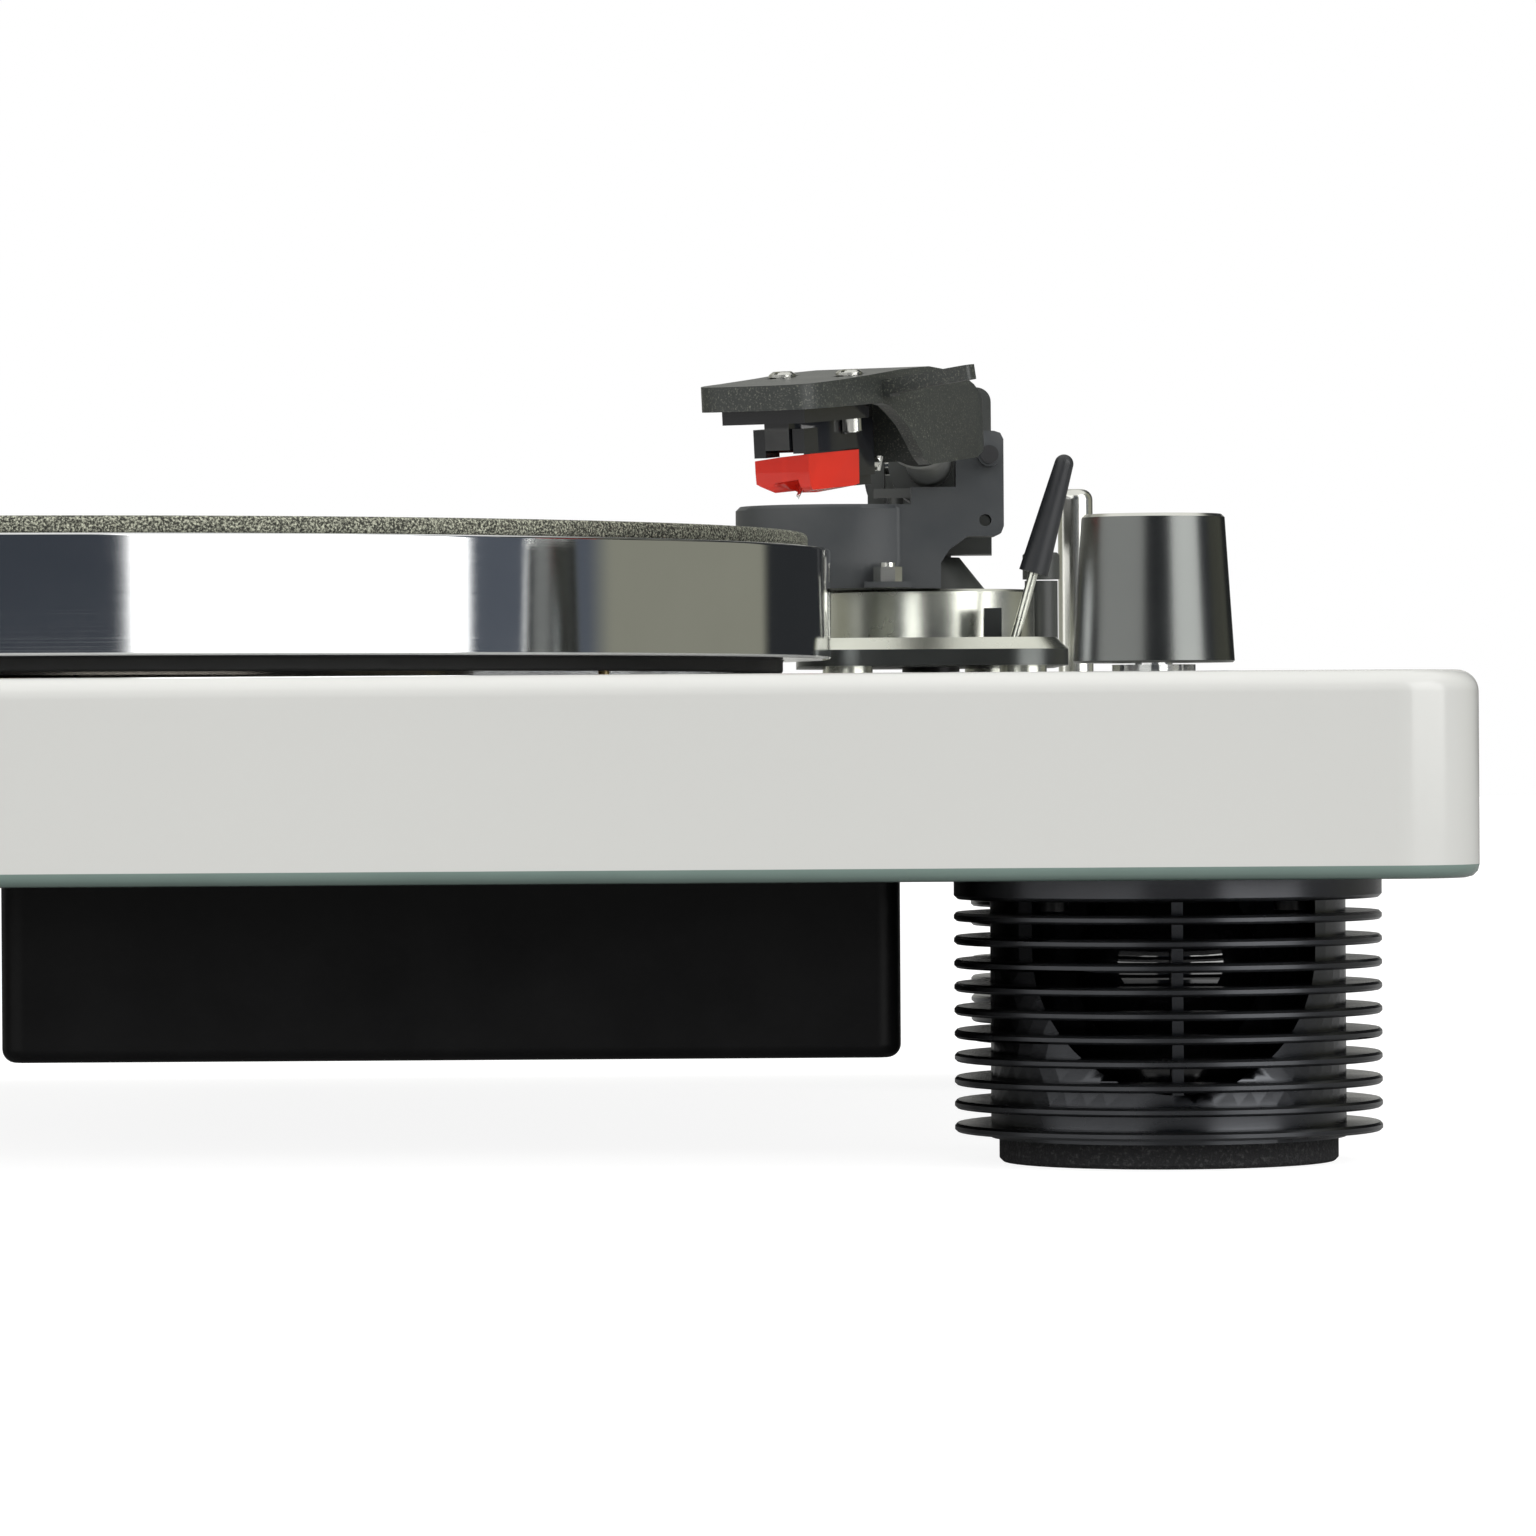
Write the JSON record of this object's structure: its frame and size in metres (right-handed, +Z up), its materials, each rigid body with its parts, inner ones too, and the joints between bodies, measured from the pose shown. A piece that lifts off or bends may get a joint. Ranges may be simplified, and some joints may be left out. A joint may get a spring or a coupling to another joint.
{
  "type": "turntable record player",
  "caption": "Belt-drive record player: thick coated-glass plinth on finned isolating feet, polished platter with felt mat, straight tonearm with cue lift, and an electronics box beneath.",
  "frame": {"origin": "middle of the plinth in plan, on the surface that the feet stand on", "axes": "+X to the right along the plinth's width, +Y to the back, +Z up"},
  "size_m": [0.45, 0.37, 0.1345],
  "materials": {
    "coated_glass": "white gloss coating under clear glass, polished edges",
    "black_satin_case": "satin black",
    "zinc_screw": "zinc plated",
    "black_screw": "black oxide",
    "panel_black": "fine texture",
    "gold_contact": "gold flashed",
    "nickel_steel": "bright nickel",
    "port_steel": "tin plated",
    "socket_black": "moulded",
    "rocker_black": "semi-gloss moulded",
    "board_green": "solder mask",
    "motor_steel": "zinc plated steel can",
    "pulley_brass": "turned",
    "belt_rubber": "ground flat belt",
    "foot_black": "satin black anodised, turned",
    "foot_rubber": "open cell, rough",
    "cup_black": "gloss",
    "ball_black": "high gloss",
    "bearing_bronze": "sintered bronze",
    "bearing_ball": "polished",
    "spindle_steel": "ground and polished",
    "cast_ring": "turned casting",
    "platter_polish": "mirror turned",
    "mat_felt": "short felt, speckled",
    "knob_gunmetal": "gunmetal, fine bead blast",
    "clear_washer": "clear moulded washer",
    "switch_body": "moulded with steel bush",
    "base_black": "satin, bevelled edge",
    "satin_alloy": "satin turned",
    "bracket_black": "moulded, fine spark texture",
    "grip_black": "moulded grip",
    "arm_black": "satin black",
    "shell_black": "moulded, speckled satin",
    "weight_steel": "dark turned steel",
    "cartridge_black": "semi-gloss moulded",
    "red_clear": "clear red moulding",
    "cantilever_alloy": "fine tube"
  },
  "bodies": {
    "base": {"arm_base_plate": "base_black", "arm_base_screws": "black_screw", "arm_base_spacers": "satin_alloy", "arm_drum": "satin_alloy", "arm_pedestal": "arm_black", "bearing_housing": "bearing_bronze", "box_screws": "black_screw", "box_shell": "black_satin_case", "bracket_stud": "nickel_steel", "drive_belt": "belt_rubber", "foot_body": "foot_black", "foot_pad": "foot_rubber", "foot_screws": "black_screw", "ground_post": "nickel_steel", "isolator_ball": "ball_black", "isolator_cup": "cup_black", "knob_washer": "clear_washer", "latch_pin": "black_screw", "main_board": "board_green", "motor_can": "motor_steel", "motor_plate": "zinc_screw", "plinth_slab": "coated_glass", "power_socket": "socket_black", "rca_sockets": "gold_contact", "rear_panel": "panel_black", "rear_post": "nickel_steel", "rest_bracket": "bracket_black", "rocker_bezel": "socket_black", "rotary_switch": "switch_body", "skate_column": "arm_black", "thrust_ball": "bearing_ball", "usb_port": "port_steel"},
    "platter_assembly": {"spindle_shaft": "spindle_steel", "sub_platter": "cast_ring", "platter": "platter_polish", "platter_mat": "mat_felt"},
    "motor_rotor": {"motor_pulley": "pulley_brass"},
    "knob": {"knob_shell": "knob_gunmetal", "knob_shaft": "spindle_steel"},
    "rocker": {"rocker_button": "rocker_black"},
    "lever": {"cue_lever": "satin_alloy", "lever_grip": "grip_black"},
    "lift": {"lift_piston": "arm_black", "lift_rail": "arm_black"},
    "latch": {"rest_latch": "bracket_black"},
    "skate": {"skate_dial": "arm_black"},
    "yoke": {"arm_yoke": "arm_black", "pivot_screws": "nickel_steel"},
    "arm": {"arm_hub": "arm_black", "arm_tube": "arm_black", "arm_collar": "arm_black", "head_shell": "shell_black", "finger_lift": "shell_black", "cartridge_body": "cartridge_black", "cartridge_screws": "nickel_steel", "cartridge_pins": "nickel_steel"},
    "weight": {"counterweight": "weight_steel"},
    "force_ring": {"force_dial": "arm_black"},
    "stylus": {"stylus_guard": "red_clear", "stylus_cantilever": "cantilever_alloy"}
  },
  "joints": [
    {"name": "platter_spin", "type": "hinge", "parent": "base", "child": "platter_assembly", "pos_m": [-0.024, -0.015, 0.0781], "axis": [0, 0, -1], "continuous": true},
    {"name": "motor_spin", "type": "hinge", "parent": "base", "child": "motor_rotor", "pos_m": [0.086, -0.015, 0.06], "axis": [0, 0, -1], "continuous": true},
    {"name": "knob_turn", "type": "hinge", "parent": "base", "child": "knob", "pos_m": [0.1768, -0.13, 0.0798], "axis": [0, 0, -1], "range_deg": [0, 90]},
    {"name": "rocker_tilt", "type": "hinge", "parent": "base", "child": "rocker", "pos_m": [0.017, 0.1535, 0.033], "axis": [1, 0, 0], "range_deg": [0, 14]},
    {"name": "cue_lever_turn", "type": "hinge", "parent": "base", "child": "lever", "pos_m": [0.1607, 0.08, 0.0836], "axis": [1, 0, 0], "range_deg": [0, 55]},
    {"name": "lift_travel", "type": "slide", "parent": "base", "child": "lift", "axis": [0, 0, 1], "range_m": [-0.0012, 0]},
    {"name": "latch_turn", "type": "hinge", "parent": "base", "child": "latch", "pos_m": [0.1566, 0.0735, 0.1208], "axis": [0, -1, 0], "range_deg": [0, 16]},
    {"name": "skate_dial_turn", "type": "hinge", "parent": "base", "child": "skate", "pos_m": [0.168, 0.122, 0.1], "axis": [0, 0, 1], "range_deg": [0, 270]},
    {"name": "arm_swing", "type": "hinge", "parent": "base", "child": "yoke", "pos_m": [0.1461, 0.104, 0.1], "axis": [0, 0, -1], "range_deg": [0, 36.5]},
    {"name": "arm_pitch", "type": "hinge", "parent": "yoke", "child": "arm", "pos_m": [0.1461, 0.104, 0.1197], "axis": [-0.9995, 0.0308, 0], "range_deg": [-0.4, 8]},
    {"name": "weight_shift", "type": "slide", "parent": "arm", "child": "weight", "axis": [-0.0308, -0.9995, 0], "range_m": [-0.003, 0.003]},
    {"name": "force_dial_turn", "type": "hinge", "parent": "arm", "child": "force_ring", "pos_m": [0.14712, 0.13698, 0.1197], "axis": [-0.0308, -0.9995, 0], "continuous": true},
    {"name": "stylus_pull", "type": "slide", "parent": "arm", "child": "stylus", "axis": [-0.5283, -0.8454, -0.0785], "range_m": [0, 0.01]}
  ],
  "couplings": [
    {"joint": "motor_spin", "follows": "platter_spin", "ratio": 12.429},
    {"joint": "lift_travel", "follows": "cue_lever_turn", "m_per_rad": -0.00125}
  ]
}
